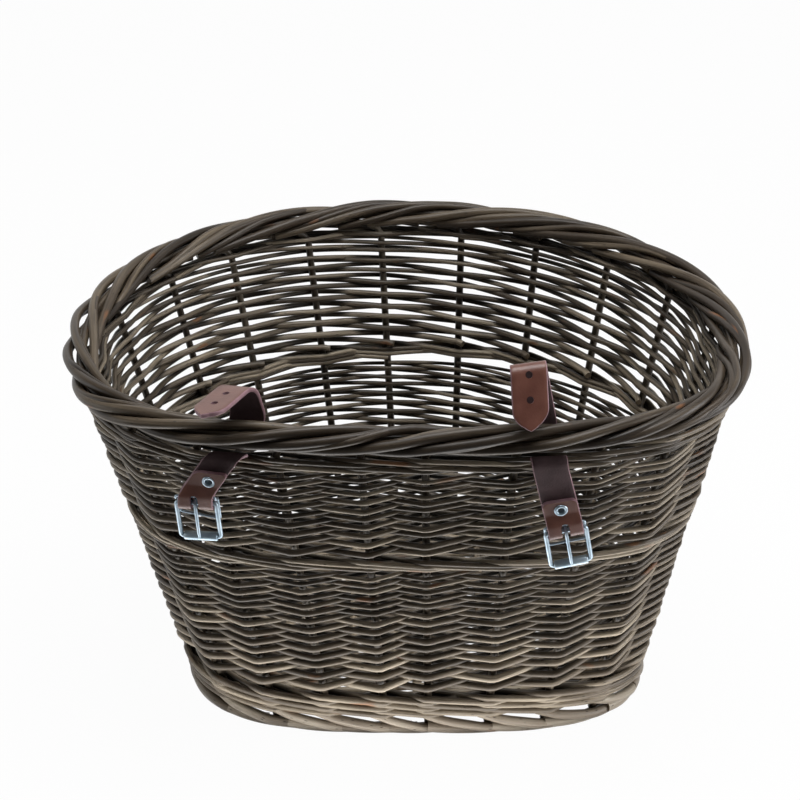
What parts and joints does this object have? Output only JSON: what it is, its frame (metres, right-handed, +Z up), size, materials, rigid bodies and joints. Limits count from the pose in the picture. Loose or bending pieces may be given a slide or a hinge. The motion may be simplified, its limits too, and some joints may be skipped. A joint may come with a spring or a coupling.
{
  "type": "bicycle handlebar basket",
  "caption": "Flared D-shaped willow basket with rolled rim, woven walls and foot, and leather straps with roller buckles to hang it on a handlebar.",
  "frame": {"origin": "centre of the bounding box at the ground", "axes": "+X right as seen from the handlebar side, -Y towards the handlebar, +Z up"},
  "size_m": [0.3998, 0.317, 0.2814],
  "materials": {
    "willow": "stained willow rods",
    "willow_border": "stained willow rods, rolled",
    "leather": "smooth brown strap leather with cut edges",
    "plated_steel": "bright zinc or nickel plated wire"
  },
  "bodies": {
    "basket": {"base_weave": "willow", "base_stick_1": "willow", "base_stick_2": "willow", "base_stick_3": "willow", "base_stick_4": "willow", "base_stick_5": "willow", "foot_border": "willow_border", "bottom_wale": "willow", "lower_weave": "willow", "middle_wale": "willow", "upper_weave": "willow", "top_wale": "willow", "rim_border": "willow_border", "stake_01": "willow", "stake_02": "willow", "stake_03": "willow", "stake_04": "willow", "stake_05": "willow", "stake_06": "willow", "stake_07": "willow", "stake_08": "willow", "stake_09": "willow", "stake_10": "willow", "stake_11": "willow", "stake_12": "willow", "stake_13": "willow", "stake_14": "willow", "stake_15": "willow", "stake_16": "willow", "stake_17": "willow", "stake_18": "willow", "stake_19": "willow", "stake_20": "willow", "stake_21": "willow", "stake_22": "willow", "strap_left_middle": "leather", "strap_right_middle": "leather"},
    "strap_tail_left": {"strap_left_tail": "leather"},
    "strap_tab_left": {"strap_left_tab": "leather", "eyelet_left": "plated_steel"},
    "buckle_left": {"buckle_frame_left": "plated_steel"},
    "prong_left": {"buckle_prong_left": "plated_steel"},
    "roller_left": {"buckle_roller_left": "plated_steel"},
    "keeper_left": {"keeper_loop_left": "plated_steel"},
    "strap_tail_right": {"strap_right_tail": "leather"},
    "strap_tab_right": {"strap_right_tab": "leather", "eyelet_right": "plated_steel"},
    "buckle_right": {"buckle_frame_right": "plated_steel"},
    "prong_right": {"buckle_prong_right": "plated_steel"},
    "roller_right": {"buckle_roller_right": "plated_steel"},
    "keeper_right": {"keeper_loop_right": "plated_steel"}
  },
  "joints": [
    {"name": "tail_flex_left", "type": "hinge", "parent": "basket", "child": "strap_tail_left", "pos_m": [-0.08756, -0.11108, 0.24424], "axis": [-0.9882, 0.1535, 0], "range_deg": [0, 50]},
    {"name": "tab_flex_left", "type": "hinge", "parent": "basket", "child": "strap_tab_left", "pos_m": [-0.09982, -0.12772, 0.22055], "axis": [-0.9882, 0.1535, 0], "range_deg": [0, 85]},
    {"name": "buckle_swing_left", "type": "hinge", "parent": "strap_tab_left", "child": "buckle_left", "pos_m": [-0.11709, -0.12507, 0.1945], "axis": [-0.986, 0.1586, -0.052], "range_deg": [-8, 60]},
    {"name": "prong_swing_left", "type": "hinge", "parent": "buckle_left", "child": "prong_left", "pos_m": [-0.11709, -0.12507, 0.1945], "axis": [-0.986, 0.1586, -0.052], "range_deg": [0, 45]},
    {"name": "roller_spin_left", "type": "hinge", "parent": "buckle_left", "child": "roller_left", "pos_m": [-0.11546, -0.12278, 0.17066], "axis": [0.986, -0.1586, 0.052], "continuous": true},
    {"name": "keeper_swing_left", "type": "hinge", "parent": "strap_tab_left", "child": "keeper_left", "pos_m": [-0.1174, -0.12549, 0.19897], "axis": [-0.986, 0.1586, -0.052], "range_deg": [-8, 6]},
    {"name": "tail_flex_right", "type": "hinge", "parent": "basket", "child": "strap_tail_right", "pos_m": [0.07158, -0.1135, 0.24423], "axis": [-0.9953, -0.0966, 0], "range_deg": [0, 50]},
    {"name": "tab_flex_right", "type": "hinge", "parent": "basket", "child": "strap_tab_right", "pos_m": [0.07861, -0.13082, 0.22024], "axis": [-0.9953, -0.0966, 0], "range_deg": [0, 85]},
    {"name": "buckle_swing_right", "type": "hinge", "parent": "strap_tab_right", "child": "buckle_right", "pos_m": [0.08832, -0.12825, 0.1785], "axis": [-0.9799, -0.0756, -0.1847], "range_deg": [-8, 60]},
    {"name": "prong_swing_right", "type": "hinge", "parent": "buckle_right", "child": "prong_right", "pos_m": [0.08832, -0.12825, 0.1785], "axis": [-0.9799, -0.0756, -0.1847], "range_deg": [0, 45]},
    {"name": "roller_spin_right", "type": "hinge", "parent": "buckle_right", "child": "roller_right", "pos_m": [0.09252, -0.12537, 0.15505], "axis": [0.9799, 0.0756, 0.1847], "continuous": true},
    {"name": "keeper_swing_right", "type": "hinge", "parent": "strap_tab_right", "child": "keeper_right", "pos_m": [0.08754, -0.12879, 0.1829], "axis": [-0.9799, -0.0756, -0.1847], "range_deg": [-8, 6]}
  ]
}
